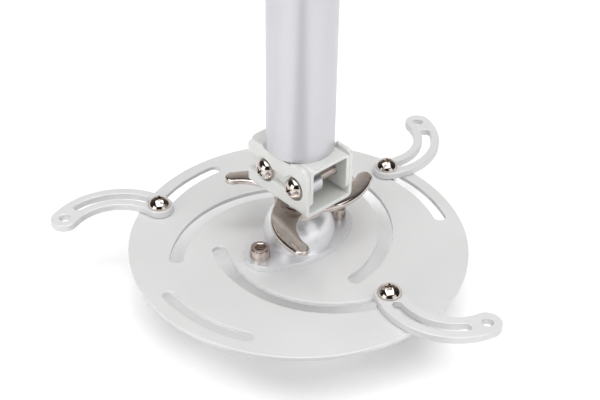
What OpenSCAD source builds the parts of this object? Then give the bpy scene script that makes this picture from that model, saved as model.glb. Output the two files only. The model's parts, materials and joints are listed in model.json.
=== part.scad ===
// Ceiling mount for a projector: a ceiling plate with a drop tube, a two-part clamp bracket,
// a ball joint with a three-bladed wing nut, and a slotted disc with three curved arms.
// Millimetres, Z up. The origin is the centre of the ceiling plate's top face.

/* [Overall] */
// from the ceiling face down to the disc's top face
drop = 240; // [200:5:420]
// turn of the bracket about the tube
bracket_turn = -47; // [-90:1:90]
// running clearance on radius between a pin and its bore
running_fit = 0.08; // [0.05:0.01:0.15]
// clearance between plain faces that move past each other
face_gap = 0.1; // [0.05:0.05:0.3]
// clearance between ball surfaces that move past each other
ball_gap = 0.3; // [0.2:0.05:0.5]

/* [Disc] */
// disc diameter
disc_d = 172; // [150:1:220]
// disc thickness
disc_t = 2.5; // [2:0.5:4]
// centre radius of the three short slots
rim_slot_r = 76.1; // [70:0.1:80]
// width of the short slots
rim_slot_w = 6.2; // [6.1:0.1:7]
// angle between the end centres of a short slot
rim_slot_span = 36.5; // [20:0.5:45]
// first end of the short slot that carries arm 1
rim_slot_1_at = 128.1; // [120:0.1:135]
// first end of the short slot that carries arm 2
rim_slot_2_at = 16.3; // [10:0.1:20]
// first end of the free short slot
rim_slot_3_at = 215.7; // [205:0.1:225]
// width of the three long slots
long_slot_w = 7.1; // [6.4:0.1:8]
// arc radius of the long slots
long_slot_r = 57.8; // [50:0.1:60]
// distance of a long slot's arc centre from the disc centre
long_slot_off = 17.05; // [10:0.05:20]
// direction of the first long slot's arc centre
long_slot_turn = 20.6; // [0:0.1:60]
// start of a long slot, counted from its own direction
long_slot_from = 175; // [165:0.5:185]
// end of a long slot, counted from its own direction
long_slot_to = 279; // [260:0.5:282]
// access hole under the ball
access_hole_d = 22; // [18:1:24]

/* [Arms] */
// arm thickness
arm_t = 4; // [3:0.5:6]
// arm width
arm_w = 14.2; // [12:0.1:18]
// radius of the arm's centre line
arm_r = 30.6; // [27:0.1:40]
// pivot to end hole
arm_reach = 49; // [40:1:56]
// width of the slot in an arm
arm_slot_w = 4.8; // [4:0.1:6]
// start of the arm's slot, in degrees from the pivot
arm_slot_from = 17; // [15:0.5:25]
// end of the arm's slot, in degrees from the pivot
arm_slot_to = 86; // [60:0.5:88]
// hole at the far end of an arm
arm_hole_d = 5.5; // [4:0.1:6.5]
// place of arm 1's screw along its slot, from the slot's first end
arm_1_slot_at = 34.8; // [0:0.1:36]
// direction of arm 1
arm_1_turn = -165.2; // [-180:0.1:180]
// place of arm 2's screw along its slot, from the slot's first end
arm_2_slot_at = 35.6; // [0:0.1:36]
// direction of arm 2
arm_2_turn = 66; // [-180:0.1:180]
// place of arm 3's screw along its slot, from the slot's first end
arm_3_slot_at = 103.2; // [0:0.1:104]
// direction of arm 3
arm_3_turn = -23.6; // [-180:0.1:180]

/* [Small screws] */
// shank diameter of the arm, flange and bracket screws
screw_d = 6; // [5:0.5:6]
// diameter of the arm screws' domed heads
pan_head_d = 12; // [10:0.5:13]
// height of the arm screws' domed heads
pan_head_h = 4.4; // [3:0.1:5]
// across the flats of the thin nuts
thin_nut_af = 10; // [8:0.5:10]
// height of the thin nuts
thin_nut_h = 3; // [2.5:0.1:3.2]
// width of the cross recess
cross_w = 1.1; // [0.8:0.1:1.4]
// length of the cross recess
cross_l = 5.6; // [4:0.1:6.5]
// depth of the cross recess
cross_depth = 2; // [1.5:0.1:2.5]

/* [Ball joint] */
// thickness of the flange under the dome
flange_t = 3; // [2.5:0.1:4]
// long way across the flange
flange_l = 66; // [62:1:70]
// short way across the flange
flange_w = 38; // [37:0.5:44]
// radius of the flange's two ends
flange_end_r = 11; // [9:0.5:12]
// distance between the two flange screws
flange_pitch = 51.4; // [48:0.2:54]
// direction of the flange on the disc
flange_turn = 42.5; // [0:0.5:90]
// outer radius of the dome
dome_r = 18; // [17:0.1:19]
// dome wall
dome_wall = 2.5; // [2:0.1:3]
// ball centre above the disc's top face
ball_rise = 8; // [7:0.1:10]
// radius of the opening in the top of the dome
dome_open_r = 10.2; // [10:0.1:11]
// height of the plain collar at the foot of the dome
dome_foot_h = 0.9; // [0.5:0.1:2]
// thickness of the plastic liner
liner_t = 1; // [0.8:0.1:1.2]
// half angle of the liner's opening
liner_open = 37; // [36:1:42]
// half angle of the liner's lower edge
liner_edge = 76; // [65:1:80]
// inner ball's flat underside above the ball centre
cup_flat = 2; // [1.5:0.1:4]
// head diameter of the flange screws
cap_head_d = 10; // [9:0.5:10]
// head height of the flange screws
cap_head_h = 6; // [5:0.5:6]
// key size of the flange screws
cap_key = 5; // [4:0.5:5]

/* [Stem and wing nut] */
// stem diameter
stem_d = 10; // [8:1:10]
// across the flats of the stem bolt and its nuts
stem_af = 16; // [13:1:16]
// height of the stem bolt's head
stem_head_h = 6.4; // [5:0.1:6.5]
// height of the lock nut under the bracket
lock_nut_h = 5; // [4:0.1:5]
// height of the thin nut inside the bracket
top_nut_h = 5; // [4:0.1:5.2]
// stem above the top nut
stem_over = 2; // [1:0.5:4]
// top face of the wing nut above the ball centre
wing_rise = 18.2; // [17.5:0.1:19.5]
// blade thickness
wing_t = 3; // [2.5:0.1:4]
// hub diameter
wing_hub_d = 25; // [22:0.5:28]
// hub depth below the wing nut's top face
wing_hub_h = 4.9; // [3:0.1:6]
// raised boss on the hub
wing_boss_d = 17; // [15:0.5:19]
// height of the raised boss
wing_boss_h = 1; // [0.5:0.1:1.2]
// radius of a blade's outer edge
blade_out_r = 35; // [30:0.1:38]
// radius of a blade's inner edge
blade_in_r = 20.4; // [18:0.1:24]
// blade tip centre along the blade
blade_tip_x = 38.2; // [34:0.1:40]
// blade tip centre across the blade
blade_tip_y = 2.2; // [0:0.1:5]
// radius of the blade tip
blade_tip_r = 4.4; // [3:0.1:5]
// direction of the first blade
blade_turn = 28; // [0:1:119]

/* [Bracket] */
// bracket length
bracket_l = 42.3; // [40:0.1:50]
// outer width of the lower channel
bracket_w = 30; // [28:0.1:34]
// gap from the wing nut's boss to the bracket's underside
bracket_over_wing = 5.5; // [5.3:0.1:8]
// sheet thickness of the lower channel
lower_sheet = 2.2; // [1.8:0.1:2.5]
// sheet thickness of the upper channel
upper_sheet = 2; // [1.5:0.1:2.5]
// height of the lower channel
lower_h = 26.9; // [24:0.1:30]
// height of the upper channel
upper_h = 20.9; // [18:0.1:24]
// lower channel's edge above the upper channel's top face
edge_over = 0.7; // [0.3:0.1:1]
// outside radius of the sheet bends
bend_r = 2.8; // [2.5:0.1:4]
// radius of the near plate's free corners
near_corner_r = 5; // [2:0.5:6]
// radius of the far plate's free corners
far_corner_r = 3; // [2:0.5:6]
// distance between the two bracket bolts
bolt_pitch = 20.8; // [20:0.1:22]
// shift of the bolt pair along the bracket
bolt_shift = 0.8; // [0:0.1:2]
// height of the bolts above the bracket's underside
bolt_rise = 12.9; // [12.5:0.1:14]
// head diameter of the bracket bolts
bolt_head_d = 10.6; // [9:0.1:10.8]
// head height of the bracket bolts
bolt_head_h = 4.4; // [3:0.1:5]
// diameter of the distance sleeve on the front bolt
bolt_sleeve_d = 13; // [10:0.5:13]
// length of the distance sleeve on the front bolt
bolt_sleeve_l = 9.5; // [6:0.5:12]
// distance between the round openings in the lower channel
keyhole_pitch = 21; // [20:0.1:22]
// shift of the round openings along the bracket
keyhole_shift = 1.1; // [0:0.1:2]
// height of the round openings above the bracket's underside
keyhole_rise = 13.3; // [12:0.1:15]
// round openings in the lower channel
keyhole_d = 13; // [12.6:0.1:14]
// slot between the round openings
keyhole_slot_w = 6.6; // [6.4:0.1:8]
// open mouth of the slot at the plate's end
keyhole_mouth_w = 9; // [8:0.1:11]
// washer diameter under the bolt heads and nuts
bolt_washer_d = 11; // [10.6:0.1:11.2]
// washer thickness under the bolt heads and nuts
bolt_washer_t = 1; // [0.8:0.1:1.2]
// height of the nuts on the bracket bolts
bolt_nut_h = 5; // [4:0.1:5.2]
// bolt length past its nut
bolt_over = 1.5; // [0.5:0.1:3]
// clearance hole for the bolts in the upper channel
bolt_hole_d = 6.6; // [6.4:0.1:7]

/* [Tube and ceiling plate] */
// tube diameter
tube_d = 33.2; // [28:0.1:38]
// tube wall
tube_wall = 1.5; // [1.2:0.1:3]
// cable hole in the upper channel
cable_hole_d = 17; // [14:1:19]
// ceiling plate diameter
ceiling_d = 110; // [100:1:140]
// ceiling plate thickness
ceiling_t = 3; // [2:0.5:5]
// circle of the four ceiling screw holes
ceiling_pcd = 86; // [80:1:90]
// ceiling screw holes
ceiling_hole_d = 6.5; // [5:0.1:7]
// cable opening in the ceiling plate
ceiling_bore = 26; // [20:1:28]
// wall of the collar round the tube
collar_wall = 4.35; // [3:0.05:8]
// collar height below the plate
collar_h = 22; // [18:1:30]
// clearance on radius between the tube and the collar
collar_fit = 0.05; // [0.05:0.05:0.2]
// distance of the set screws below the plate
set_screw_down = 12; // [10:1:18]

/* [Hidden] */
$fn = 96;
silver = [0.82, 0.83, 0.84];
nickel = [0.68, 0.65, 0.61];
nylon = [0.9, 0.9, 0.88];

screw_r = screw_d / 2;
pin_bore_r = screw_r + running_fit;
stem_r = stem_d / 2;
disc_z = -drop;
ball_z = disc_z + ball_rise;
wing_z = ball_z + wing_rise;
bracket_z = wing_z + wing_boss_h + bracket_over_wing;
floor_z = bracket_z + lower_sheet;
lower_top = bracket_z + lower_h;
upper_top = lower_top - edge_over;
bolt_z = bracket_z + bolt_rise;
keyhole_z = bracket_z + keyhole_rise;
upper_w = bracket_w - 2 * lower_sheet - 2 * face_gap;
upper_foot = upper_top - upper_h;
tube_top = -ceiling_t;
collar_d = tube_d + 2 * collar_fit + 2 * collar_wall;
tube_l = tube_top - upper_top;
dome_in_r = dome_r - dome_wall;
liner_out_r = dome_in_r - ball_gap;
liner_in_r = liner_out_r - liner_t;
cup_r = liner_in_r - ball_gap;
seat_r = dome_r + ball_gap;
foot_r = sqrt(dome_r * dome_r - (ball_rise - flange_t) * (ball_rise - flange_t));
stem_top = floor_z + top_nut_h + stem_over;
stem_head_top = ball_z + cup_flat - face_gap;
arm_low = disc_z + face_gap;
arm_high = arm_low + arm_t;
nut_top = disc_z - disc_t - face_gap;
arm_mid = arm_reach / 2;
arm_up = sqrt(arm_r * arm_r - arm_mid * arm_mid);
arm_start = 180 + atan2(arm_up, arm_mid);
arm_end = 360 - atan2(arm_up, arm_mid);
upper_face = upper_w / 2;
tiny = 0.02;

rim_pivot_1 = rim_slot_1_at + arm_1_slot_at;
rim_pivot_2 = rim_slot_2_at + arm_2_slot_at;
long_pivot_3 = long_slot_turn + long_slot_from + arm_3_slot_at;
pivot_1 = [rim_slot_r * cos(rim_pivot_1), rim_slot_r * sin(rim_pivot_1)];
pivot_2 = [rim_slot_r * cos(rim_pivot_2), rim_slot_r * sin(rim_pivot_2)];
long_centre = [long_slot_off * cos(long_slot_turn), long_slot_off * sin(long_slot_turn)];
pivot_3 = long_centre + long_slot_r * [cos(long_pivot_3), sin(long_pivot_3)];

// a wedge that covers the angles from a to b, out to radius r
module wedge(r, a, b) {
  step = (b - a) / 8;
  big = r * 1.5;
  polygon([[0, 0], for (i = [0:8]) [big * cos(a + i * step), big * sin(a + i * step)]]);
}

// an arc slot with round ends, centred on the origin
module arc_band(r, w, a, b) {
  intersection() {
    difference() {
      circle(r = r + w / 2);
      circle(r = r - w / 2);
    }
    wedge(r + w, a, b);
  }
  for (t = [a, b])
    translate([r * cos(t), r * sin(t)])
      circle(r = w / 2 + tiny);
}

module at_bracket() {
  rotate([0, 0, bracket_turn])
    children();
}

// a shaft along the bracket's width
module across(d, y0, y1, x, z) {
  translate([x, y0, z])
    rotate([-90, 0, 0])
      cylinder(d = d, h = y1 - y0);
}

module hex(af, h) {
  cylinder(r = af / 2 / cos(30), h = h, $fn = 6);
}

// domed head standing on z = 0 with a cross recess in its crown
module domed_head(d, h) {
  rim = 0.9;
  cap = h - rim;
  ball = (d * d / 4 + cap * cap) / (2 * cap);
  difference() {
    union() {
      cylinder(d = d, h = rim);
      intersection() {
        translate([0, 0, h - ball])
          sphere(r = ball);
        translate([0, 0, rim])
          cylinder(d = d, h = cap + 1);
      }
    }
    translate([-cross_l / 2, -cross_w / 2, h - cross_depth])
      cube([cross_l, cross_w, cross_depth + 1]);
    translate([-cross_w / 2, -cross_l / 2, h - cross_depth])
      cube([cross_w, cross_l, cross_depth + 1]);
  }
}

module ceiling_plate() {
  color(silver)
    difference() {
      union() {
        translate([0, 0, -ceiling_t])
          cylinder(d = ceiling_d, h = ceiling_t);
        translate([0, 0, -ceiling_t - collar_h])
          cylinder(d = collar_d, h = collar_h + tiny);
      }
      translate([0, 0, -ceiling_t - collar_h - 1])
        cylinder(r = tube_d / 2 + collar_fit, h = collar_h + 1);
      translate([0, 0, -ceiling_t - 1])
        cylinder(d = ceiling_bore, h = ceiling_t + 2);
      for (t = [45, 135, 225, 315])
        rotate([0, 0, t])
          translate([ceiling_pcd / 2, 0, -ceiling_t - 1])
            cylinder(d = ceiling_hole_d, h = ceiling_t + 2);
      for (t = [0, 180])
        rotate([0, 0, t])
          translate([0, 0, -ceiling_t - set_screw_down])
            rotate([0, 90, 0])
              cylinder(r = screw_r, h = collar_d);
    }
}

module set_screws() {
  screw_in = tube_d / 2;
  screw_out = collar_d / 2;
  color(nickel)
    for (t = [0, 180])
      rotate([0, 0, t])
        translate([screw_in, 0, -ceiling_t - set_screw_down])
          rotate([0, 90, 0])
            difference() {
              cylinder(r = screw_r, h = screw_out - screw_in);
              translate([0, 0, 1])
                hex(3, screw_out - screw_in);
            }
}

module drop_tube() {
  color(silver)
    translate([0, 0, upper_top])
      difference() {
        cylinder(d = tube_d, h = tube_l);
        translate([0, 0, -1])
          cylinder(d = tube_d - 2 * tube_wall, h = tube_l + 2);
      }
}

module bolt_shafts(d, y0, y1) {
  for (s = [-1, 1])
    across(d, y0, y1, bolt_shift + s * bolt_pitch / 2, bolt_z);
}

module bolt_sleeve() {
  wall_y = -upper_face + upper_sheet;
  bolt_x = bolt_shift + bolt_pitch / 2;
  color(silver)
    at_bracket()
      difference() {
        across(bolt_sleeve_d, wall_y, wall_y + bolt_sleeve_l, bolt_x, bolt_z);
        across(bolt_hole_d, wall_y - 1, wall_y + bolt_sleeve_l + 1, bolt_x, bolt_z);
      }
}

// sheet channel section, open at the top, standing on z = 0 and centred on x
module channel_section(w, h, t) {
  inner_r = bend_r - t;
  difference() {
    union() {
      translate([-w / 2, bend_r])
        square([w, h - bend_r]);
      translate([-w / 2 + bend_r, 0])
        square([w - 2 * bend_r, bend_r + 1]);
      for (s = [-1, 1])
        translate([s * (w / 2 - bend_r), bend_r])
          circle(r = bend_r);
    }
    translate([-w / 2 + t, bend_r])
      square([w - 2 * t, h]);
    translate([-w / 2 + bend_r, t])
      square([w - 2 * bend_r, h]);
    for (s = [-1, 1])
      translate([s * (w / 2 - bend_r), bend_r])
        circle(r = inner_r);
  }
}

module along_bracket(l) {
  translate([-l / 2, 0, 0])
    rotate([90, 0, 90])
      linear_extrude(height = l)
        children();
}

// what is cut away to round a plate's free corner at x = 0, z = 0
module corner_cut(r, w) {
  rotate([90, 0, 0])
    linear_extrude(height = w, center = true)
      difference() {
        translate([-1, -1])
          square([r + 1, r + 1]);
        translate([r, r])
          circle(r = r);
      }
}

module upper_channel() {
  color(silver)
    at_bracket()
      difference() {
        translate([0, 0, upper_top])
          mirror([0, 0, 1])
            along_bracket(bracket_l)
              channel_section(upper_w, upper_h, upper_sheet);
        translate([0, 0, upper_top - upper_sheet - 1])
          cylinder(d = cable_hole_d, h = upper_sheet + 2);
        bolt_shafts(bolt_hole_d, -bracket_w, bracket_w);
        for (s = [-1, 1])
          scale([s, 1, 1])
            translate([-bracket_l / 2, 0, upper_foot])
              corner_cut(3, bracket_w);
      }
}

module keyhole_cut() {
  left = -bracket_l / 2;
  first = keyhole_shift - keyhole_pitch / 2;
  for (x = [first, first + keyhole_pitch])
    across(keyhole_d, -bracket_w, bracket_w, x, keyhole_z);
  translate([first, -bracket_w, keyhole_z - keyhole_slot_w / 2])
    cube([keyhole_pitch, 2 * bracket_w, keyhole_slot_w]);
  translate([left - 1, -bracket_w, keyhole_z - keyhole_mouth_w / 2])
    cube([first - left + 1, 2 * bracket_w, keyhole_mouth_w]);
}

module lower_channel() {
  dip_r = tube_d / 2 + 1.2;
  color(silver)
    at_bracket()
      difference() {
        translate([0, 0, bracket_z])
          along_bracket(bracket_l)
            channel_section(bracket_w, lower_h, lower_sheet);
        translate([0, 0, bracket_z - 1])
          cylinder(r = stem_r + running_fit, h = lower_sheet + 2);
        keyhole_cut();
        translate([0, 0, upper_top - 0.8])
          cylinder(r = dip_r, h = 10);
        for (s = [-1, 1])
          scale([s, 1, 1]) {
            translate([-bracket_l / 2, -bracket_w / 2, lower_top])
              mirror([0, 0, 1])
                corner_cut(near_corner_r, bracket_w - 1);
            translate([-bracket_l / 2, bracket_w / 2, lower_top])
              mirror([0, 0, 1])
                corner_cut(far_corner_r, bracket_w - 1);
          }
      }
}

module bracket_washers() {
  color(nickel)
    at_bracket()
      for (s = [-1, 1])
        scale([1, s, 1])
          difference() {
            bolt_shafts(bolt_washer_d, -upper_face - bolt_washer_t, -upper_face);
            bolt_shafts(bolt_hole_d, -bracket_w, 0);
          }
}

module bracket_bolts() {
  head_y = -upper_face - bolt_washer_t;
  tip_y = upper_face + bolt_washer_t + bolt_nut_h + bolt_over;
  color(nickel)
    at_bracket() {
      bolt_shafts(screw_d, head_y - tiny, tip_y);
      for (s = [-1, 1])
        translate([bolt_shift + s * bolt_pitch / 2, head_y, bolt_z])
          rotate([90, 0, 0])
            rotate([0, 0, 45])
              domed_head(bolt_head_d, bolt_head_h);
    }
}

module bracket_nuts() {
  nut_y = upper_face + bolt_washer_t;
  color(nickel)
    at_bracket()
      for (s = [-1, 1])
        translate([bolt_shift + s * bolt_pitch / 2, nut_y, bolt_z])
          rotate([-90, 0, 0])
            difference() {
              hex(thin_nut_af, bolt_nut_h);
              translate([0, 0, -1])
                cylinder(r = screw_r, h = bolt_nut_h + 2);
            }
}

module stem_bolt() {
  color(nickel) {
    translate([0, 0, stem_head_top - stem_head_h])
      hex(stem_af, stem_head_h);
    translate([0, 0, stem_head_top - tiny])
      cylinder(r = stem_r, h = stem_top - stem_head_top + tiny);
  }
}

module lock_nut() {
  color(nickel)
    translate([0, 0, bracket_z - lock_nut_h])
      difference() {
        hex(stem_af, lock_nut_h);
        translate([0, 0, -1])
          cylinder(r = stem_r, h = lock_nut_h + 2);
      }
}

module top_nut() {
  color(nickel)
    rotate([0, 0, bracket_turn + 30])
      translate([0, 0, floor_z])
        difference() {
          hex(stem_af, top_nut_h);
          translate([0, 0, -1])
            cylinder(r = stem_r, h = top_nut_h + 2);
        }
}

module blade_shape() {
  out_c = [14, 21.5];
  in_c = [21.6, 20.4];
  span = [blade_tip_x - out_c[0], blade_tip_y - out_c[1]];
  far = norm(span);
  ux = span[0] / far;
  uy = span[1] / far;
  reach = blade_tip_r + 2.5;
  difference() {
    intersection() {
      translate(out_c)
        circle(r = blade_out_r);
      polygon([[0, 3], [0, -15], [blade_tip_x, -15],
        [blade_tip_x + reach * ux, blade_tip_y + reach * uy],
        [blade_tip_x - reach * ux, blade_tip_y - reach * uy], [24, 3]]);
    }
    translate(in_c)
      circle(r = blade_in_r);
  }
  translate([blade_tip_x, blade_tip_y])
    circle(r = blade_tip_r);
}

module wing_nut() {
  color(nickel)
    difference() {
      union() {
        for (i = [0:2])
          rotate([0, 0, blade_turn + 120 * i])
            translate([0, 0, wing_z - wing_t])
              linear_extrude(height = wing_t)
                blade_shape();
        translate([0, 0, wing_z - wing_hub_h])
          cylinder(d = wing_hub_d, h = wing_hub_h);
        translate([0, 0, wing_z - tiny])
          cylinder(d = wing_boss_d, h = wing_boss_h + tiny);
      }
      translate([0, 0, ball_z])
        sphere(r = seat_r);
      translate([0, 0, ball_z])
        cylinder(r = stem_r + running_fit, h = wing_rise + wing_boss_h + 1);
    }
}

module ball_cup() {
  color(nickel)
    difference() {
      translate([0, 0, ball_z])
        sphere(r = cup_r);
      translate([-cup_r - 1, -cup_r - 1, ball_z + cup_flat - 2 * cup_r])
        cube([2 * cup_r + 2, 2 * cup_r + 2, 2 * cup_r]);
      translate([0, 0, ball_z])
        cylinder(r = stem_r + running_fit, h = cup_r + 1);
    }
}

module ball_liner() {
  big = liner_out_r * 2;
  color(nylon)
    translate([0, 0, ball_z])
      rotate_extrude()
        intersection() {
          difference() {
            circle(r = liner_out_r);
            circle(r = liner_in_r);
          }
          polygon([[0, 0], [big * sin(liner_open), big * cos(liner_open)],
            [big * sin(liner_edge), big * cos(liner_open)], [big * sin(liner_edge), big * cos(liner_edge)]]);
        }
}

// four-arc oval of the flange, centred on the origin
module flange_oval() {
  end_x = flange_l / 2 - flange_end_r;
  half = flange_w / 2;
  drop_c = (end_x * end_x - (half - flange_end_r) * (half - flange_end_r)) / (2 * (half - flange_end_r));
  side_r = drop_c + half;
  meet_x = end_x * side_r / (side_r - flange_end_r);
  intersection() {
    translate([0, -drop_c])
      circle(r = side_r, $fn = 180);
    translate([0, drop_c])
      circle(r = side_r, $fn = 180);
    square([2 * meet_x, 2 * half + 2], center = true);
  }
  for (s = [-1, 1])
    translate([s * end_x, 0])
      circle(r = flange_end_r);
}

module at_flange_screws() {
  for (s = [-1, 1])
    rotate([0, 0, flange_turn])
      translate([s * flange_pitch / 2, 0, disc_z])
        children();
}

module ball_dome() {
  foot_z = disc_z + flange_t;
  color(silver)
    difference() {
      union() {
        rotate([0, 0, flange_turn])
          translate([0, 0, disc_z])
            linear_extrude(height = flange_t)
              flange_oval();
        translate([0, 0, foot_z - tiny])
          cylinder(r = foot_r, h = dome_foot_h + tiny);
        intersection() {
          translate([0, 0, ball_z])
            sphere(r = dome_r);
          translate([0, 0, foot_z])
            cylinder(r = dome_r + 1, h = 2 * dome_r);
        }
      }
      translate([0, 0, ball_z])
        sphere(r = dome_in_r);
      translate([0, 0, disc_z - 1])
        cylinder(r = foot_r - dome_wall, h = flange_t + 1);
      translate([0, 0, ball_z])
        cylinder(r = dome_open_r, h = dome_r + 1);
      at_flange_screws()
        translate([0, 0, -1])
          cylinder(r = screw_r, h = flange_t + 2);
    }
}

module disc_outline() {
  difference() {
    circle(d = disc_d, $fn = 180);
    circle(d = access_hole_d);
    for (t = [rim_slot_1_at, rim_slot_2_at, rim_slot_3_at])
      arc_band(rim_slot_r, rim_slot_w, t, t + rim_slot_span);
    for (i = [0:2])
      rotate([0, 0, long_slot_turn + 120 * i])
        translate([long_slot_off, 0])
          arc_band(long_slot_r, long_slot_w, long_slot_from, long_slot_to);
    for (s = [-1, 1])
      rotate([0, 0, flange_turn])
        translate([s * flange_pitch / 2, 0])
          circle(r = screw_r);
  }
}

module disc_plate() {
  color(silver)
    translate([0, 0, disc_z - disc_t])
      linear_extrude(height = disc_t)
        disc_outline();
}

module flange_screws() {
  color(nickel)
    at_flange_screws() {
      translate([0, 0, flange_t])
        difference() {
          cylinder(d = cap_head_d, h = cap_head_h);
          translate([0, 0, cap_head_h - 3])
            hex(cap_key, 4);
        }
      translate([0, 0, -disc_t - thin_nut_h])
        cylinder(r = screw_r, h = disc_t + thin_nut_h + flange_t + tiny);
    }
}

module flange_nuts() {
  color(nickel)
    at_flange_screws()
      translate([0, 0, -disc_t - thin_nut_h])
        difference() {
          hex(thin_nut_af, thin_nut_h);
          translate([0, 0, -1])
            cylinder(r = screw_r, h = thin_nut_h + 2);
        }
}

module arm_screw(p) {
  low = nut_top - thin_nut_h;
  head = arm_high + face_gap;
  color(nickel)
    translate([p[0], p[1], 0]) {
      translate([0, 0, low])
        cylinder(r = screw_r, h = head - low + tiny);
      translate([0, 0, head])
        rotate([0, 0, 10])
          domed_head(pan_head_d, pan_head_h);
    }
}

module arm_nut(p) {
  color(nickel)
    translate([p[0], p[1], nut_top - thin_nut_h])
      difference() {
        hex(thin_nut_af, thin_nut_h);
        translate([0, 0, -1])
          cylinder(r = screw_r, h = thin_nut_h + 2);
      }
}

// an arm with its pivot on the origin and its end hole on the x axis
module arm_outline() {
  difference() {
    translate([arm_mid, arm_up])
      arc_band(arm_r, arm_w, arm_start, arm_end);
    translate([arm_mid, arm_up])
      arc_band(arm_r, arm_slot_w, arm_start + arm_slot_from, arm_start + arm_slot_to);
    circle(r = pin_bore_r);
    translate([arm_reach, 0])
      circle(d = arm_hole_d);
  }
}

module arm(p, turn) {
  color(silver)
    translate([p[0], p[1], arm_low])
      rotate([0, 0, turn])
        linear_extrude(height = arm_t)
          arm_outline();
}

ceiling_plate();
set_screws();
drop_tube();
upper_channel();
lower_channel();
bolt_sleeve();
bracket_washers();
bracket_bolts();
bracket_nuts();
stem_bolt();
lock_nut();
top_nut();
wing_nut();
ball_cup();
ball_liner();
ball_dome();
disc_plate();
flange_screws();
flange_nuts();
arm_screw(pivot_1);  // arm_screw_1
arm_screw(pivot_2);  // arm_screw_2
arm_screw(pivot_3);  // arm_screw_3
arm_nut(pivot_1);  // arm_nut_1
arm_nut(pivot_2);  // arm_nut_2
arm_nut(pivot_3);  // arm_nut_3
arm(pivot_1, arm_1_turn);  // arm_1
arm(pivot_2, arm_2_turn);  // arm_2
arm(pivot_3, arm_3_turn);  // arm_3
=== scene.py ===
# %% [markdown]
# # A projector ceiling mount
#
# The real object is a tube that drops from the ceiling, a clamp bracket bent from two sheets of steel,
# a ball joint with a big wing nut, and a slotted disc with three curved arms that a projector is screwed to.
#
# The solid model already holds every shape and size, so this script loads it as a fixed frame and gives each
# piece its finish. Where a real part has a form that a solid model leaves out, such as a screw thread or the
# rounded edges of a casting, a detailed mesh is built in code and put in its place.

# %% Load the frame
import json
import math

import bmesh
import bpy
from mathutils import Matrix, Vector

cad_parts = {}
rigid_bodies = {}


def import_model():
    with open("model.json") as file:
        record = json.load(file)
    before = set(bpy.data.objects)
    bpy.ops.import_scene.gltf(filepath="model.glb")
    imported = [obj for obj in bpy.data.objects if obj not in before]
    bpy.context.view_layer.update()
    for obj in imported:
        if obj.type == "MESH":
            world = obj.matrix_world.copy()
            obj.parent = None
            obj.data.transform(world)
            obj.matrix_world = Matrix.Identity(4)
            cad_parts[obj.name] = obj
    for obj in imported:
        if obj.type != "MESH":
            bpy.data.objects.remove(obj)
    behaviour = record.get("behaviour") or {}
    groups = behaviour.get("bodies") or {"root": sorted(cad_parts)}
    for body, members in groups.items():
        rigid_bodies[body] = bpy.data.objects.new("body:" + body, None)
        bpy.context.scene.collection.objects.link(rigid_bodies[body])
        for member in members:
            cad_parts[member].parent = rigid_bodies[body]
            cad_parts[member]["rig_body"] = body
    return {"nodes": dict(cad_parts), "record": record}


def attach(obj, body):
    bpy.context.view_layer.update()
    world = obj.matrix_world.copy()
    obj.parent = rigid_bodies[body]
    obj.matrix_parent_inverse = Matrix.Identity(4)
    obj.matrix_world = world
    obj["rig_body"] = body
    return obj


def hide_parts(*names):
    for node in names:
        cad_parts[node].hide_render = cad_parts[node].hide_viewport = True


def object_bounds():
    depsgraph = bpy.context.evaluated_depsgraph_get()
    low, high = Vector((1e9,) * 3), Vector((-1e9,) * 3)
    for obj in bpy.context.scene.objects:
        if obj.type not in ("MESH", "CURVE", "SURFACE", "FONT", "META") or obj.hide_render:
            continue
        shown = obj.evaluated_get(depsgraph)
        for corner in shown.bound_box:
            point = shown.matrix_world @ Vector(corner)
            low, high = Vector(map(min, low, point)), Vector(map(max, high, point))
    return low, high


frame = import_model()
nodes = frame["nodes"]
cad_low, cad_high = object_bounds()
MM = 0.001
print("pieces:", len(nodes), "height in mm:", round((cad_high.z - cad_low.z) / MM, 1))

# %% [markdown]
# ## Three small helpers
#
# Screens show colours in sRGB, but a renderer adds light up in linear values, so every colour in this file is
# written as the hex value one would pick on a screen, and one function turns it to linear. The other two
# helpers start a material and add one node to it with its settings and its links.

# %% Colour and node helpers


def linear(hex_colour):
    """An sRGB hex colour as four linear values."""
    parts = [int(hex_colour[i : i + 2], 16) / 255 for i in (0, 2, 4)]
    return [c / 12.92 if c <= 0.04045 else ((c + 0.055) / 1.055) ** 2.4 for c in parts] + [1.0]


def start_material(name):
    """A new material with a Principled shader: (material, tree, shader)."""
    material = bpy.data.materials.new(name)
    material.use_nodes = True
    tree = material.node_tree
    return material, tree, tree.nodes["Principled BSDF"]


def add(tree, kind, settings=None, **inputs):
    """One node. A tuple among the inputs is a link: (node, output name)."""
    node = tree.nodes.new(kind)
    for key, value in (settings or {}).items():
        setattr(node, key, value)
    for key, value in inputs.items():
        socket = node.inputs[int(key[1:]) if key[0] == "i" and key[1:].isdigit() else key.replace("_", " ")]
        if isinstance(value, tuple):
            tree.links.new(value[0].outputs[value[1]], socket)
        else:
            socket.default_value = value
    return node


def ramp(tree, source, stops):
    """A colour ramp: stops are (position, linear colour)."""
    node = add(tree, "ShaderNodeValToRGB", i0=source)
    bar = node.color_ramp
    while len(bar.elements) < len(stops):
        bar.elements.new(0.5)
    for element, (position, colour) in zip(bar.elements, stops):
        element.position, element.color = position, colour
    return node


# %% [markdown]
# ## The camera
#
# The photograph looks down at the mount from in front, at about 37 degrees. The camera's place and its focal
# length were worked out from the disc's outline and its slots: a circle's shape in a picture says exactly
# how far away and how high the lens was. The three rows below are the camera's right, its up and the
# direction that it looks in.

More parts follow.
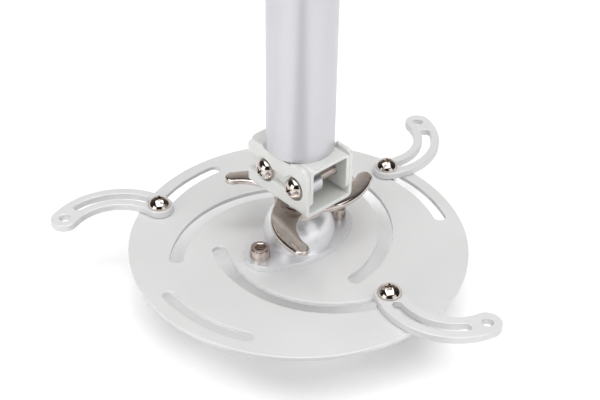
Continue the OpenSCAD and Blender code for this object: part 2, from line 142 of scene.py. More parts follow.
# %% Place the camera
FOCAL_PX = 1288.0
PHOTO_WIDTH_PX = 600
SENSOR_MM = 36.0
camera_data = bpy.data.cameras.new("camera")
camera_data.sensor_width = SENSOR_MM
camera_data.lens = FOCAL_PX * SENSOR_MM / PHOTO_WIDTH_PX
camera = bpy.data.objects.new("camera", camera_data)
bpy.context.scene.collection.objects.link(camera)
right = Vector((0.99987, 0.00974, 0.01299))
up = Vector((-0.01623, 0.59982, 0.80000))
look = Vector((0.0, 0.8001, -0.5999))
turn = Matrix((right, up, -look)).transposed().to_4x4()
camera.matrix_world = Matrix.Translation((0.0003, -0.5113, 0.1686)) @ turn
camera_data.clip_start, camera_data.clip_end = 0.01, 20
bpy.context.scene.camera = camera
bpy.context.scene.view_settings.view_transform = "Standard"
print("lens in mm:", round(camera_data.lens, 2))

# %% [markdown]
# ## The floor
#
# A catalogue picture has a white glossy table under the mount. The floor is plain white with a thin clear
# gloss, so it mirrors the mount faintly and keeps its soft shadow. It lies 28 mm below the disc, because the
# disc's low side goes down that far when the ball joint tilts it both ways at once. A little plain white that
# only the camera sees lifts the empty table to pure white without any more light on the object.

# %% Lay the floor
FLOOR_DROP_MM = 28
floor_z = cad_low.z - FLOOR_DROP_MM * MM
bpy.ops.mesh.primitive_plane_add(size=8, location=(0, 0, floor_z))
floor = bpy.context.object
floor.name = "floor"
floor_paint, tree, shader = start_material("white_gloss_table")
shader.inputs["Base Color"].default_value = linear("FCFCFC")
shader.inputs["Roughness"].default_value = 0.2
shader.inputs["IOR"].default_value = 1.33
path = add(tree, "ShaderNodeLightPath")
lift = add(tree, "ShaderNodeMath", {"operation": "MULTIPLY"}, i0=(path, "Is Camera Ray"), i1=0.08)
shader.inputs["Emission Color"].default_value = (1, 1, 1, 1)
tree.links.new(lift.outputs[0], shader.inputs["Emission Strength"])
floor.data.materials.append(floor_paint)
print("floor height in mm:", round(floor_z / MM, 1))

# %% [markdown]
# ## The studio
#
# A pale surround and three soft boxes light the mount evenly, so that a colour shows about as it is written.
# The background is plain white for the camera and for what mirrors it. Bright metal needs something dark to
# mirror as well: without it polished nickel looks like plain white paint. Photographers hang dark cards round
# the object. Here one dark hood does it, a half globe that only mirror rays can see, with a gap at its
# horizon where the white room shows. It is near black in front and grows lighter towards the back, so a flat
# blade goes from dark to bright along its length. A grey card lies on the floor in front of the mount. The
# tube's middle mirrors it, which gives the tube the darker band that makes it look round.

# %% Light the studio
world = bpy.data.worlds.new("studio")
bpy.context.scene.world = world
world.use_nodes = True
tree = world.node_tree
sky = tree.nodes["Background"]
sky.inputs["Color"].default_value = linear("FFFFFF")
sky.inputs["Strength"].default_value = 0.37
seen = add(tree, "ShaderNodeBackground", Color=[1, 1, 1, 1], Strength=1.0)
path = add(tree, "ShaderNodeLightPath")
larger = {"operation": "MAXIMUM"}
mirrored = add(tree, "ShaderNodeMath", larger, i0=(path, "Is Glossy Ray"), i1=(path, "Is Transmission Ray"))
white = add(tree, "ShaderNodeMath", larger, i0=(path, "Is Camera Ray"), i1=(mirrored, 0))
pick = add(tree, "ShaderNodeMixShader", i0=(white, 0), i1=(sky, "Background"), i2=(seen, "Background"))
tree.links.new(pick.outputs[0], tree.nodes["World Output"].inputs["Surface"])


def soft_lamp(name, place, aim, size, power, mirrors):
    """A square soft box that points at aim. mirrors says whether polished metal shows it."""
    data = bpy.data.lights.new(name, "AREA")
    data.shape, data.size = "SQUARE", size
    data.energy = power
    lamp = bpy.data.objects.new(name, data)
    lamp.location = place
    lamp.rotation_euler = (Vector(aim) - Vector(place)).to_track_quat("-Z", "Y").to_euler()
    lamp.visible_glossy = mirrors
    bpy.context.scene.collection.objects.link(lamp)
    return lamp


soft_lamp("overhead_box", (0.05, -0.2, 1.45), (0, 0, -0.2), 2.0, 36, True)
soft_lamp("left_box", (-1.05, -0.95, 0.35), (0, 0, -0.2), 0.9, 4.4, True)
soft_lamp("right_box", (1.0, -0.95, 0.35), (0, 0, -0.2), 0.9, 2.4, True)

# %% Hang the dark hood
HOOD_R = 2.4
HOOD_FOOT = 0.12
bpy.ops.mesh.primitive_uv_sphere_add(segments=48, ring_count=32, radius=HOOD_R, location=(0, 0, floor_z))
hood = bpy.context.object
hood.name = "dark_hood"
shell = bmesh.new()
shell.from_mesh(hood.data)
low_part = [v for v in shell.verts if v.co.z < HOOD_FOOT * HOOD_R]
bmesh.ops.delete(shell, geom=low_part, context="VERTS")
shell.to_mesh(hood.data)
shell.free()
hood.visible_camera = hood.visible_diffuse = hood.visible_shadow = hood.visible_transmission = False
cloth, tree, shader = start_material("dark_hood_cloth")
tree.nodes.remove(shader)
place = add(tree, "ShaderNodeTexCoord")
along = add(tree, "ShaderNodeSeparateXYZ", Vector=(place, "Object"))
depth = add(tree, "ShaderNodeMapRange", Value=(along, "Y"))
depth.inputs["From Min"].default_value, depth.inputs["From Max"].default_value = -HOOD_R, HOOD_R
shade = ramp(
    tree,
    (depth, 0),
    [(0.0, linear("1C1A1A")), (0.5, linear("2A2726")), (0.82, linear("544F4D")), (0.96, linear("DAD6D3"))],
)
glow = add(tree, "ShaderNodeEmission", Color=(shade, "Color"), Strength=1.0)
tree.links.new(glow.outputs[0], tree.nodes["Material Output"].inputs["Surface"])
hood.data.materials.append(cloth)
print("hood radius in m:", HOOD_R)

# %% Lay a grey card in front
CARD_WIDE, CARD_LONG, CARD_GAP = 0.13, 0.55, 0.002
card_y = cad_low.y - CARD_LONG / 2 - CARD_GAP
bpy.ops.mesh.primitive_plane_add(size=1, location=(0.0, card_y, floor_z + MM))
card = bpy.context.object
card.name = "front_card"
card.scale = (CARD_WIDE, CARD_LONG, 1)
card.visible_camera = card.visible_diffuse = card.visible_shadow = card.visible_transmission = False
board, tree, shader = start_material("dark_card_board")
tree.nodes.remove(shader)
glow = add(tree, "ShaderNodeEmission", Color=linear("A8A8AE"), Strength=1.0)
tree.links.new(glow.outputs[0], tree.nodes["Material Output"].inputs["Surface"])
card.data.materials.append(board)
print("front card in m:", CARD_WIDE, "x", CARD_LONG)

# %% [markdown]
# ## Silver powder coat
#
# The tube, the bracket, the disc and the arms are steel with a silver-grey powder coat: polyester powder,
# sprayed on and baked at about 190 degrees. It gives a satin surface with a very slight orange-peel wave,
# about a millimetre long, and a fine grain of aluminium flake. The flake is finer than a hair, so it is drawn
# at a fifth of a millimetre to show at all. A Bevel node rounds the sheet's edges in the shading, as the
# powder does when it melts over them. The dome is a casting with a silver lacquer, which lies smoother and
# brighter, and the same function makes it.

# %% Make the powder coat


def powder_coat(name, light_hex, dark_hex, metallic, roughness, edge_mm):
    material, tree, shader = start_material(name)
    place = add(tree, "ShaderNodeTexCoord")
    flake = add(tree, "ShaderNodeTexNoise", Vector=(place, "Object"), Scale=1 / (0.2 * MM), Detail=1.0)
    cloud = add(tree, "ShaderNodeTexNoise", Vector=(place, "Object"), Scale=1 / (38 * MM), Detail=3.0)
    weigh = {"operation": "MULTIPLY_ADD"}
    both = add(tree, "ShaderNodeMath", weigh, i0=(flake, "Fac"), i1=0.55, i2=0.0)
    spread = add(tree, "ShaderNodeMath", weigh, i0=(cloud, "Fac"), i1=0.45, i2=(both, 0))
    tint = ramp(tree, (spread, 0), [(0.36, linear(dark_hex)), (0.64, linear(light_hex))])
    tree.links.new(tint.outputs["Color"], shader.inputs["Base Color"])
    gloss = add(tree, "ShaderNodeMapRange", Value=(cloud, "Fac"))
    gloss.inputs["To Min"].default_value = roughness - 0.03
    gloss.inputs["To Max"].default_value = roughness + 0.04
    tree.links.new(gloss.outputs[0], shader.inputs["Roughness"])
    peel = add(tree, "ShaderNodeTexNoise", Vector=(place, "Object"), Scale=1 / (1.1 * MM), Detail=2.0)
    edge = add(tree, "ShaderNodeBevel", {"samples": 6}, Radius=edge_mm * MM)
    wave = add(
        tree,
        "ShaderNodeBump",
        Strength=0.22,
        Distance=0.02 * MM,
        Height=(peel, "Fac"),
        Normal=(edge, "Normal"),
    )
    tree.links.new(wave.outputs["Normal"], shader.inputs["Normal"])
    shader.inputs["Metallic"].default_value = metallic
    return material


coat = powder_coat("powder_coated_steel", "E0E0E0", "DBDBDB", 0.25, 0.38, 0.3)
# The bracket's copy of the coat is written lighter than the disc's: painted light, so its faces look brighter
# than the same coat under the same lamps.
bracket_coat_painted_lighter = powder_coat("powder_coat_painted_lighter_bracket", "EBECE9", "E4E5E2", 0.3, 0.36, 0.3)
# The tube's copy of the coat is written darker than the disc's: painted shade, standing in for less light on
# the tube.
tube_coat_painted_darker = powder_coat("powder_coat_painted_darker_tube", "D4D4D8", "D1D1D5", 0.4, 0.32, 0.5)
lacquer = powder_coat("silver_lacquered_casting", "EFEFF1", "E9E9EC", 0.5, 0.24, 0.6)
print("coats:", coat.name, tube_coat_painted_darker.name, lacquer.name)

# %% [markdown]
# ## Bright nickel
#
# The screws, the nuts and the wing nut are steel or cast zinc with a bright nickel plate. Nickel is a warm
# metal: it mirrors a little more red than blue, and what it mirrors is mostly the room. Handling leaves faint
# patches that are a little less sharp. The casting of the wing nut also keeps a soft wave under the plate.

# %% Make the nickel finishes


def nickel_plate(name, light_hex, dark_hex, roughness, wave_mm, wave_depth, edge_mm):
    material, tree, shader = start_material(name)
    place = add(tree, "ShaderNodeTexCoord")
    cloud = add(tree, "ShaderNodeTexNoise", Vector=(place, "Object"), Scale=1 / (6 * MM), Detail=4.0)
    tint = ramp(tree, (cloud, "Fac"), [(0.35, linear(dark_hex)), (0.62, linear(light_hex))])
    tree.links.new(tint.outputs["Color"], shader.inputs["Base Color"])
    gloss = add(tree, "ShaderNodeMapRange", Value=(cloud, "Fac"))
    gloss.inputs["From Min"].default_value, gloss.inputs["From Max"].default_value = 0.3, 0.7
    gloss.inputs["To Min"].default_value = roughness + 0.05
    gloss.inputs["To Max"].default_value = roughness
    tree.links.new(gloss.outputs[0], shader.inputs["Roughness"])
    swell = add(tree, "ShaderNodeTexNoise", Vector=(place, "Object"), Scale=1 / (wave_mm * MM), Detail=1.5)
    edge = add(tree, "ShaderNodeBevel", {"samples": 6}, Radius=edge_mm * MM)
    wave = add(
        tree,
        "ShaderNodeBump",
        Strength=0.5,
        Distance=wave_depth * MM,
        Height=(swell, "Fac"),
        Normal=(edge, "Normal"),
    )
    tree.links.new(wave.outputs["Normal"], shader.inputs["Normal"])
    shader.inputs["Metallic"].default_value = 1.0
    return material


nickel = nickel_plate("nickel_plated_steel", "DAD1CA", "C8BEB7", 0.08, 2.5, 0.01, 0.25)
nickel_cast = nickel_plate("nickel_plated_casting", "DAD1CB", "CEC5BF", 0.09, 13.0, 0.35, 0.4)
nickel_screw = nickel_plate("nickel_plated_cap_screw", "DCCFC8", "CBBDB5", 0.16, 2.5, 0.01, 0.15)
print("nickel finishes:", nickel.name, nickel_cast.name)

# %% [markdown]
# ## Turned steel, zinc, black steel and nylon
#
# Four small pieces sit inside others. The sleeve in the bracket is turned steel, with the fine rings that a
# lathe tool leaves. The half ball is die-cast zinc, grey and slightly grainy. The set screws are black-oxide
# steel, and the liner is moulded white nylon, which is smooth and pale.

# %% Make the inner finishes


def plain_finish(name, light_hex, dark_hex, metallic, roughness, grain_mm, grain_depth):
    material, tree, shader = start_material(name)
    place = add(tree, "ShaderNodeTexCoord")
    grain = add(tree, "ShaderNodeTexNoise", Vector=(place, "Object"), Scale=1 / (grain_mm * MM), Detail=3.0)
    tint = ramp(tree, (grain, "Fac"), [(0.38, linear(dark_hex)), (0.62, linear(light_hex))])
    tree.links.new(tint.outputs["Color"], shader.inputs["Base Color"])
    edge = add(tree, "ShaderNodeBevel", {"samples": 4}, Radius=0.25 * MM)
    rough = add(
        tree,
        "ShaderNodeBump",
        Strength=0.4,
        Distance=grain_depth * MM,
        Height=(grain, "Fac"),
        Normal=(edge, "Normal"),
    )
    tree.links.new(rough.outputs["Normal"], shader.inputs["Normal"])
    shader.inputs["Metallic"].default_value = metallic
    shader.inputs["Roughness"].default_value = roughness
    return material


zinc = plain_finish("die_cast_zinc", "A9ABAF", "96989D", 1.0, 0.42, 0.6, 0.03)
black_steel = plain_finish("black_oxide_steel", "3A3A3D", "2C2C2F", 0.9, 0.38, 0.5, 0.01)
nylon = plain_finish("moulded_nylon", "EDEDE8", "E4E4DE", 0.0, 0.45, 1.5, 0.01)
RING_MM, WAVES_PER_UNIT = 0.35, 20
turned, tree, shader = start_material("turned_steel")
place = add(tree, "ShaderNodeTexCoord")
rings = add(
    tree,
    "ShaderNodeTexWave",
    {"bands_direction": "Z"},
    Vector=(place, "Object"),
    Scale=1 / (RING_MM * MM) / WAVES_PER_UNIT,
    Distortion=0.3,
)
tint = ramp(tree, (rings, "Fac"), [(0.0, linear("C6C8CC")), (1.0, linear("D8DADE"))])
tree.links.new(tint.outputs["Color"], shader.inputs["Base Color"])
cut = add(tree, "ShaderNodeBump", Strength=0.35, Distance=0.02 * MM, Height=(rings, "Fac"))
tree.links.new(cut.outputs["Normal"], shader.inputs["Normal"])
shader.inputs["Metallic"].default_value = 1.0
shader.inputs["Roughness"].default_value = 0.3
print("inner finishes:", zinc.name, black_steel.name, nylon.name, turned.name)

# %% [markdown]
# ## Give each piece its finish
#
# A piece keeps its mesh, and only the material in its slot changes.

# %% Assign the materials
finishes = {
    "bright_nickel": nickel,
    "silver_powder_coat": coat,
    "turned_steel": turned,
    "die_cast_zinc": zinc,
    "black_oxide_steel": black_steel,
    "white_nylon": nylon,
}
slot_of = {part["node"]: part["material_slot"] for part in frame["record"]["subparts"]}
for name, piece in nodes.items():
    finish = finishes[slot_of[name]]
    # The tube and the bracket take the copies of the coat with painted shade and painted light in their
    # colour.
    if name == "drop_tube":
        finish = tube_coat_painted_darker
    if name == "ball_dome":
        finish = lacquer
    if name in ("upper_channel", "lower_channel"):
        finish = bracket_coat_painted_lighter
    if name == "wing_nut":
        finish = nickel_cast
    for slot in piece.material_slots:
        slot.material = finish
print("finished:", len(nodes), "pieces")

# %% [markdown]
# ## Round the edges
#
# A solid model's edges are knife sharp, and no real edge is: sheet steel has a small break where it was
# blanked, powder melts over it, and a casting is rounded all over. The light that such an edge catches is
# what makes a metal part look solid. Four modifiers do this without touching the mesh itself: one welds the
# doubled points, one joins the flat triangles to whole faces, one bevels what is sharp, and the last keeps
# the flat faces flat in the shading.

# %% Bevel the sharp edges


def round_edges(piece, radius_mm, segments, sharp_degrees=32):
    weld = piece.modifiers.new("weld", "WELD")
    weld.merge_threshold = 0.001 * MM
    flat = piece.modifiers.new("join_flat_faces", "DECIMATE")
    flat.decimate_type, flat.angle_limit = "DISSOLVE", math.radians(0.4)
    bevel = piece.modifiers.new("round_edges", "BEVEL")
    bevel.width, bevel.segments = radius_mm * MM, segments
    bevel.limit_method, bevel.angle_limit = "ANGLE", math.radians(sharp_degrees)
    bevel.miter_outer = "MITER_ARC"
    piece.modifiers.new("even_shading", "WEIGHTED_NORMAL")


EDGE_MM = {
    "ceiling_plate": 0.4,
    "set_screws": 0.15,
    "drop_tube": 0.3,
    "upper_channel": 0.3,
    "lower_channel": 0.35,
    "bolt_sleeve": 0.3,
    "bracket_washers": 0.2,
    "ball_liner": 0.15,
    "ball_cup": 0.2,
    "disc_plate": 0.4,
    "arm_1": 0.6,
    "arm_2": 0.6,
    "arm_3": 0.6,
}
BROAD_MM = 0.4
for name, radius_mm in EDGE_MM.items():
    round_edges(nodes[name], radius_mm, 3 if radius_mm >= BROAD_MM else 2)
print("rounded:", len(EDGE_MM), "pieces")

# %% [markdown]
# ## Screws and nuts
#
# Every fastener here is a turned or rolled shape, so one function spins a profile about an axis. The profile
# is asked for at each angle, and that makes it do more than plain turning: a hexagon is a radius that
# changes six times a turn, a knurl one that changes seventy-two times, and a thread is a ridge whose height
# shifts with the angle. The thread's ridge never stands higher than the solid's plain shank.

# %% Spin a profile


def spin(profile, count, ring=False):
    """A mesh from profile(angle), a list of (radius, height) in mm. A ring's profile closes on itself."""
    shape = bmesh.new()
    spokes = []
    for i in range(count):
        angle = math.tau * i / count
        spoke = []
        for r, z in profile(angle):
            spoke.append(shape.verts.new((r * math.cos(angle) * MM, r * math.sin(angle) * MM, z * MM)))
        spokes.append(spoke)
    steps = len(spokes[0])
    for i in range(count):
        here, there = spokes[i], spokes[(i + 1) % count]
        for k in range(steps if ring else steps - 1):
            after = (k + 1) % steps
            shape.faces.new((here[k], there[k], there[after], here[after]))
    bmesh.ops.remove_doubles(shape, verts=shape.verts, dist=0.0001 * MM)
    bmesh.ops.recalc_face_normals(shape, faces=shape.faces)
    return shape


def hexagon(angle, flats):
    """Radius of a hexagon at an angle, with a corner at angle 0."""
    return flats / 2 / math.cos(angle % (math.pi / 3) - math.pi / 6)


def thread(angle, radius, pitch, low, high):
    """Points up a threaded shank from low to high, with a chamfer at the low end."""
    deep = 0.61 * pitch
    count = round((high - low) / pitch * 8)
    points = []
    for k in range(count + 1):
        z = low + (high - low) * k / count
        crest = abs(((z / pitch - angle / math.tau) % 1) * 2 - 1)
        cut = min(1, max(0, (crest - 0.125) / 0.625))
        points.append((min(radius - deep * cut, radius - deep + z - low), z))
    return points


# %% Find each solid and put a new shape in its place


def solids(name, turn=Matrix()):
    """Lowest and highest corner of each separate solid of a node, in a turned frame, in mm, along X."""
    shape = bmesh.new()
    shape.from_mesh(nodes[name].data)
    bmesh.ops.remove_doubles(shape, verts=shape.verts, dist=0.001 * MM)
    back = turn.inverted()
    waiting, found = set(shape.verts), []
    while waiting:
        queue, corners = [waiting.pop()], []
        while queue:
            point = queue.pop()
            corners.append(back @ point.co / MM)
            near = {edge.other_vert(point) for edge in point.link_edges} & waiting
            waiting -= near
            queue += near
        found.append([Vector([pick(c[k] for c in corners) for k in range(3)]) for pick in (min, max)])
    shape.free()
    return sorted(found, key=lambda corners: corners[0].x)


def settle(name, shapes, material):
    """One piece from (shape, matrix) pairs. It stands for the CAD node and rides on the node's body."""
    whole = bmesh.new()
    for shape, matrix in shapes:
        part = bpy.data.meshes.new("part")
        shape.to_mesh(part)
        part.transform(matrix)
        whole.from_mesh(part)
        bpy.data.meshes.remove(part)
    data = bpy.data.meshes.new(name + "_detailed")
    whole.to_mesh(data)
    whole.free()
    data.shade_smooth()
    data.set_sharp_from_angle(angle=math.radians(38))
    data.materials.append(material)
    piece = bpy.data.objects.new(name + "_detailed", data)
    bpy.context.scene.collection.objects.link(piece)
    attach(piece, nodes[name]["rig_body"])
    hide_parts(name)
    return piece


# %% [markdown]
# ## Nuts
#
# A hexagon nut is turned to a 30 degree chamfer at both ends, which leaves the curved edge at its corners.

# %% Make the nuts


def nut(flats, height, bore_r):
    crown_r, bore_break = flats / 2 * 0.96, 0.5

    def profile(angle):
        reach = hexagon(angle, flats)
        drop = (reach - crown_r) * math.tan(math.radians(30))
        return [
            (bore_r, bore_break),
            (bore_r + bore_break, 0),
            (crown_r, 0),
            (reach, drop),
            (reach, height - drop),
            (crown_r, height),
            (bore_r + bore_break, height),
            (bore_r, height - bore_break),
        ]

    return spin(profile, 60, ring=True)


BRACKET_DEG = -47
BRACKET_TURN = Matrix.Rotation(math.radians(BRACKET_DEG), 4, "Z")
SIDEWAYS = BRACKET_TURN @ Matrix.Rotation(math.radians(90), 4, "X")
UPRIGHT = Matrix()
nut_frames = {
    "lock_nut": (UPRIGHT, 16, 5, 0),
    "top_nut": (UPRIGHT, 16, 5, BRACKET_DEG + 30),
    "bracket_nuts": (SIDEWAYS, 10, 3, 0),
    "flange_nuts": (UPRIGHT, 10, 3, 0),
    "arm_nut_1": (UPRIGHT, 10, 3, 0),
    "arm_nut_2": (UPRIGHT, 10, 3, 0),
    "arm_nut_3": (UPRIGHT, 10, 3, 0),
}
for name, (turn, flats, bore_r, twist) in nut_frames.items():
    shapes = []
    for low, high in solids(name, turn):
        middle = (low + high) / 2
        foot = Matrix.Translation(Vector((middle.x, middle.y, low.z)) * MM)
        spun = foot @ Matrix.Rotation(math.radians(twist), 4, "Z")
        shapes.append((nut(flats, high.z - low.z, bore_r), turn @ spun))
    settle(name, shapes, nickel)
print("nuts:", len(nut_frames), "nodes")

# %% [markdown]
# ## Domed screws with a cross recess
#
# Three clamp the arms and two hold the bracket. The head is a shallow dome over a short rim. Its cross recess
# is punched by a tapered tool, so the slots narrow as they go down: two tapered bars are cut out of the head.

# %% Make the domed screws
DOME_H, DOME_RIM = 4.4, 0.9


def domed_screw(head_d, shank_l, pitch=1.0, shank_r=3.0):
    head_r, cap_h = head_d / 2, DOME_H - DOME_RIM
    ball_r = (head_r**2 + cap_h**2) / (2 * cap_h)
    half = math.asin(head_r / ball_r)

    def profile(angle):
        dome = [(ball_r * math.sin(half * (1 - k / 10)), k) for k in range(11)]
        dome = [(r, DOME_H - ball_r + math.sqrt(max(0, ball_r**2 - r**2))) for r, _ in dome]
        shank = thread(angle, shank_r, pitch, -shank_l, -0.6)
        rim = [(shank_r, -0.4), (shank_r, 0), (head_r - 0.25, 0), (head_r, 0.25), (head_r, DOME_RIM - 0.15)]
        rim += [(head_r - 0.05, DOME_RIM + 0.02)]
        return [(0, -shank_l)] + shank + rim + dome[1:]

    return spin(profile, 48)


def tapered_bar(turn_deg):
    """A bar that narrows downwards: one slot of the cross recess."""
    bar = bmesh.new()
    bmesh.ops.create_cube(bar, size=1)
    for corner in bar.verts:
        top = corner.co.z > 0
        long, wide = (6.0, 1.35) if top else (2.6, 0.8)
        corner.co.x *= long * MM
        corner.co.y *= wide * MM
        corner.co.z = (DOME_H + 0.2 if top else DOME_H - 2.3) * MM
    bmesh.ops.rotate(bar, verts=bar.verts, matrix=Matrix.Rotation(math.radians(turn_deg), 3, "Z"))
    return bar


def cut_cross(screw):
    """The screw with both slots cut out of its head."""
    data = bpy.data.meshes.new("blank")
    screw.to_mesh(data)
    blank = bpy.data.objects.new("blank", data)
    bpy.context.scene.collection.objects.link(blank)
    tools = []
    for turn_deg in (0, 90):
        tool_data = bpy.data.meshes.new("punch")
        bar = tapered_bar(turn_deg)
        bar.to_mesh(tool_data)
        tool = bpy.data.objects.new("punch", tool_data)
        bpy.context.scene.collection.objects.link(tool)
        cut = blank.modifiers.new("cut", "BOOLEAN")
        cut.operation, cut.solver, cut.object = "DIFFERENCE", "EXACT", tool
        tools.append(tool)
    bpy.context.view_layer.update()
    ready = blank.evaluated_get(bpy.context.evaluated_depsgraph_get())
    shape = bmesh.new()
    shape.from_mesh(ready.to_mesh())
    for leftover in [blank] + tools:
        bpy.data.objects.remove(leftover)
    return shape


domed = {
    "arm_screw_1": (UPRIGHT, 12, 10),
    "arm_screw_2": (UPRIGHT, 12, 10),
    "arm_screw_3": (UPRIGHT, 12, 10),
    "bracket_bolts": (SIDEWAYS, 10.6, 45),
}
for name, (turn, head_d, twist) in domed.items():
    shapes = []
    for low, high in solids(name, turn):
        middle = (low + high) / 2
        foot = Matrix.Translation(Vector((middle.x, middle.y, high.z - DOME_H)) * MM)
        spun = foot @ Matrix.Rotation(math.radians(twist), 4, "Z")
        screw = cut_cross(domed_screw(head_d, high.z - DOME_H - low.z))
        shapes.append((screw, turn @ spun))
    settle(name, shapes, nickel)
print("domed screws:", [len(solids(name, turn)) for name, (turn, _, _) in domed.items()])

# %% [markdown]
# ## Socket cap screws
#
# The two screws in the flange have a cylinder head with a straight knurl, for starting them by hand, and a
# hexagon socket with a flat bottom.

# %% Make the socket cap screws
CAP_R, CAP_H, CAP_KEY, CAP_DEPTH, KNURLS = 5.0, 6.0, 5.0, 3.0, 60


def cap_screw(shank_l):
    def profile(angle):
        groove = 0.14 * (0.5 + 0.5 * math.cos(KNURLS * angle))
        key = hexagon(angle, CAP_KEY)
        return (
            [(0, -shank_l)]
            + thread(angle, 3.0, 1.0, -shank_l, -0.6)
            + [(3, -0.4), (3, 0), (CAP_R - 0.4, 0), (CAP_R - 0.1, 0.35), (CAP_R - groove, 0.7)]
            + [(CAP_R - groove, CAP_H - 1.1), (CAP_R - 0.1, CAP_H - 0.7), (CAP_R - 0.12, CAP_H - 0.4)]
            + [(CAP_R - 0.5, CAP_H), (key + 0.35, CAP_H), (key, CAP_H - 0.3), (key, CAP_H - CAP_DEPTH)]
            + [(0, CAP_H - CAP_DEPTH - 0.01)]
        )

    return spin(profile, 120)


shapes = []
for low, high in solids("flange_screws"):
    middle = (low + high) / 2
    foot = Matrix.Translation(Vector((middle.x, middle.y, high.z - CAP_H)) * MM)
    shapes.append((cap_screw(high.z - CAP_H - low.z), foot))
settle("flange_screws", shapes, nickel_screw)
print("cap screws:", len(shapes))

# %% [markdown]
# ## The stem
#
# The stem is an M10 hexagon bolt with a pitch of 1.5 mm. Its head sits inside the ball, and its thread shows
# above the nut in the bracket.

# %% Make the stem bolt
STEM_HEAD_H, STEM_AF, STEM_R, STEM_PITCH = 6.4, 16.0, 5.0, 1.5


def stem(length):
    crown_r = STEM_AF / 2 * 0.96

    def profile(angle):
        reach = hexagon(angle, STEM_AF)
        drop = (reach - crown_r) * math.tan(math.radians(30))
        shank = [(r, -z) for r, z in thread(angle, STEM_R, STEM_PITCH, -length, -9)]
        head = [(0, 0), (crown_r, 0), (reach, drop), (reach, STEM_HEAD_H), (STEM_R, STEM_HEAD_H)]
        return head + shank[::-1] + [(0, length)]

    return spin(profile, 60)


low, high = solids("stem_bolt")[0]
foot = Matrix.Translation(Vector((0, 0, low.z)) * MM)
settle("stem_bolt", [(stem(high.z - low.z), foot)], nickel)
print("stem length in mm:", round(high.z - low.z, 1))

# %% [markdown]
# ## The wing nut
#
# The real one is cast: its blades have rounded edges and a slight crown on top, which is what draws the
# dark-to-bright sweep of light along them. Each blade lies between an outer and an inner arc and ends in a
# round tip, the same outline as the solid's. Going from the hub to the tip, the script takes the chord across
# the blade and lays a rounded section over it. The hub is turned, hollow where it rides on the dome, and the
# blades start just inside its rim, at ROOT_R.

# %% Make a blade
OUT_C, OUT_R = Vector((14, 21.5)), 35.0
IN_C, IN_R = Vector((21.6, 20.4)), 20.4
TIP_C, TIP_R = Vector((38.2, 2.2)), 4.4
WING_T, EDGE_R, CROWN = 3.0, 0.9, 0.3
ROOT_R = 11.8
BLADE_DEG, OUT_START_DEG, IN_START_DEG = 28, -112, -152
ARC_STEPS, TIP_STEPS, SHY = 24, 9, 0.03


def chords():
    """Pairs of outline points (outer, inner) from inside the hub to the end of the tip."""
    tip_out = math.atan2(*(TIP_C - OUT_C).yx)
    tip_in = math.atan2(*(TIP_C - IN_C).yx)
    pairs = []
    for k in range(ARC_STEPS + 1):
        share = k / ARC_STEPS
        a = math.radians(OUT_START_DEG) * (1 - share) + (tip_out - SHY) * share
        b = math.radians(IN_START_DEG) * (1 - share) + (tip_in - SHY) * share
        outer = OUT_C + OUT_R * Vector((math.cos(a), math.sin(a)))
        inner = IN_C + IN_R * Vector((math.cos(b), math.sin(b)))
        pairs.append((outer, inner))
    across = (pairs[-1][1] - pairs[-1][0]).normalized()
    ahead = Vector((-across.y, across.x))
    if ahead.dot(TIP_C - pairs[-4][0]) < 0:
        ahead = -ahead
    for k in range(1, TIP_STEPS + 1):
        a = math.radians(90 * k / TIP_STEPS) * 0.98
        middle = TIP_C + ahead * TIP_R * math.sin(a)
        reach = across * TIP_R * math.cos(a)
        pairs.append((middle - reach, middle + reach))
    return pairs


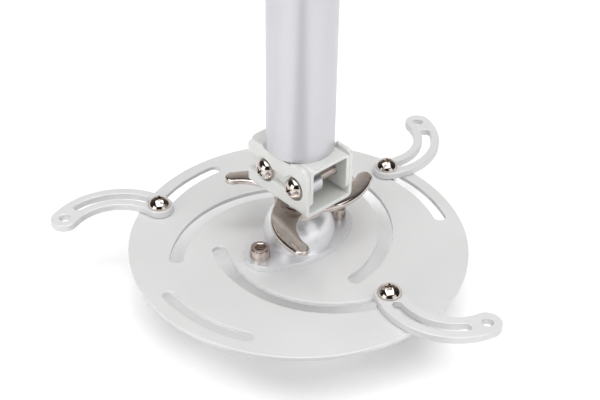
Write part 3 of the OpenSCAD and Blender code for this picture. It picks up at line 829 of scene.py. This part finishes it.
def blade(top_z):
    """One blade: a rounded section laid over each chord."""
    shape = bmesh.new()
    rings = []
    for outer, inner in chords():
        half = (inner - outer).length / 2
        across = (inner - outer).normalized()
        middle = (outer + inner) / 2
        soft = min(EDGE_R, half)
        ring = []
        for side in (-1, 1):
            for step in range(5):
                a = math.radians(90 * step / 4)
                off, low = half - soft * (1 - math.cos(a)), soft * (1 - math.sin(a))
                ring.append((side * off, top_z - low))
        left, right = ring[:5], ring[5:]
        inside = [(half - soft) * (k / 3) for k in (-2, -1, 0, 1, 2)]
        over = [(x, top_z) for x in inside]
        section = left + over + right[::-1]
        crowned = [(x, z - CROWN * (x / half) ** 2 if half > soft else z - CROWN) for x, z in section]
        under = [(x, 2 * top_z - WING_T - z) for x, z in section[::-1]]
        ring = []
        for x, z in crowned + under:
            point = middle + across * x
            if point.length < ROOT_R:
                point = point.normalized() * ROOT_R
            ring.append(shape.verts.new((point.x * MM, point.y * MM, z * MM)))
        rings.append(ring)
    for here, there in zip(rings, rings[1:]):
        for k in range(len(here)):
            after = (k + 1) % len(here)
            shape.faces.new((here[k], here[after], there[after], there[k]))
    for ring in (rings[0], rings[-1]):
        last = len(ring) - 1
        for k in range(last // 2):
            shape.faces.new((ring[k], ring[k + 1], ring[last - k - 1], ring[last - k]))
    bmesh.ops.remove_doubles(shape, verts=shape.verts, dist=0.001 * MM)
    bmesh.ops.recalc_face_normals(shape, faces=shape.faces)
    return shape


# %% Make the hub and put the wing nut together
BALL_Z, SEAT_R, WING_RISE = -232.0, 18.3, 18.2
HUB_R, BOSS_R, BOSS_H, BORE_R = 12.5, 8.5, 1.0, 5.08


def hub(angle):
    """The hub's section, from the ball's centre up. Its underside is part of the seat."""
    top = WING_RISE
    seat_from, seat_to = math.asin(BORE_R / SEAT_R), math.asin(HUB_R / SEAT_R)
    seat = [seat_from + k / 8 * (seat_to - seat_from) for k in range(9)]
    under = [(SEAT_R * math.sin(a), SEAT_R * math.cos(a)) for a in seat]
    upper = [(HUB_R, top - 0.5), (HUB_R - 0.5, top), (BOSS_R + 0.3, top), (BOSS_R, top + 0.3)]
    upper += [(BOSS_R, top + BOSS_H - 0.4), (BOSS_R - 0.4, top + BOSS_H), (BORE_R + 0.4, top + BOSS_H)]
    return under + upper + [(BORE_R, top + BOSS_H - 0.4)]


low, high = solids("wing_nut")[0]
top_z = high.z - BOSS_H
ball = Matrix.Translation((0, 0, BALL_Z * MM))
shapes = [(spin(hub, 96, ring=True), ball)]
for k in range(3):
    shapes.append((blade(top_z), Matrix.Rotation(math.radians(BLADE_DEG + 120 * k), 4, "Z")))
wing = settle("wing_nut", shapes, nickel_cast)
print("wing nut tip radius in mm:", round(max(v.co.xy.length for v in wing.data.vertices) / MM, 1))
